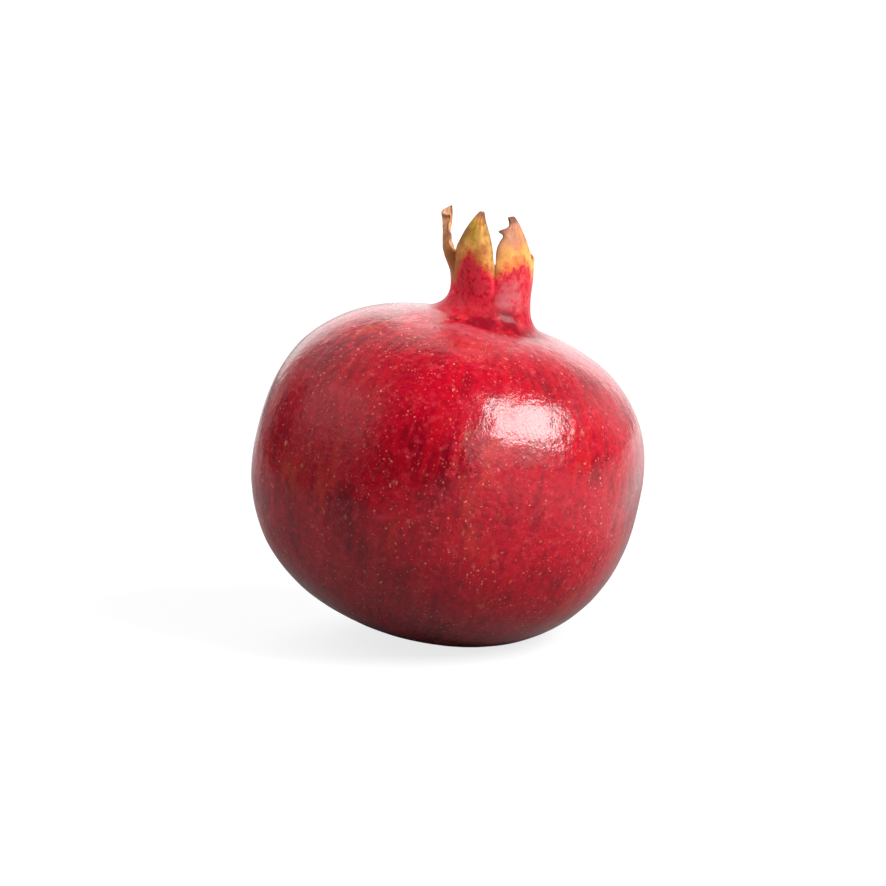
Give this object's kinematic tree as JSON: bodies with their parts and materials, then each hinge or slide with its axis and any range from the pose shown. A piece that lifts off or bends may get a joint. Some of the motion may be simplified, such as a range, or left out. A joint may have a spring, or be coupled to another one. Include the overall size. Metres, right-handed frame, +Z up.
{
  "type": "pomegranate",
  "caption": "Whole uncut pomegranate with a broad rounded body, a short neck, an open crown of sepals with dry stamens, and a stalk stump.",
  "frame": {"origin": "middle of the small flat spot that the fruit rests on, on the table", "axes": "+Z up, along the height over the crown; +X the way the fruit leans, so the stalk end is on the -X side of the flat spot; -Y the front"},
  "size_m": [0.0968, 0.0971, 0.1067],
  "materials": {
    "rind": "satin",
    "dry_stamens": "matte",
    "stalk_wood": "matte"
  },
  "bodies": {
    "root": {"fruit": "rind", "stamens": "dry_stamens", "stalk": "stalk_wood"}
  },
  "joints": []
}
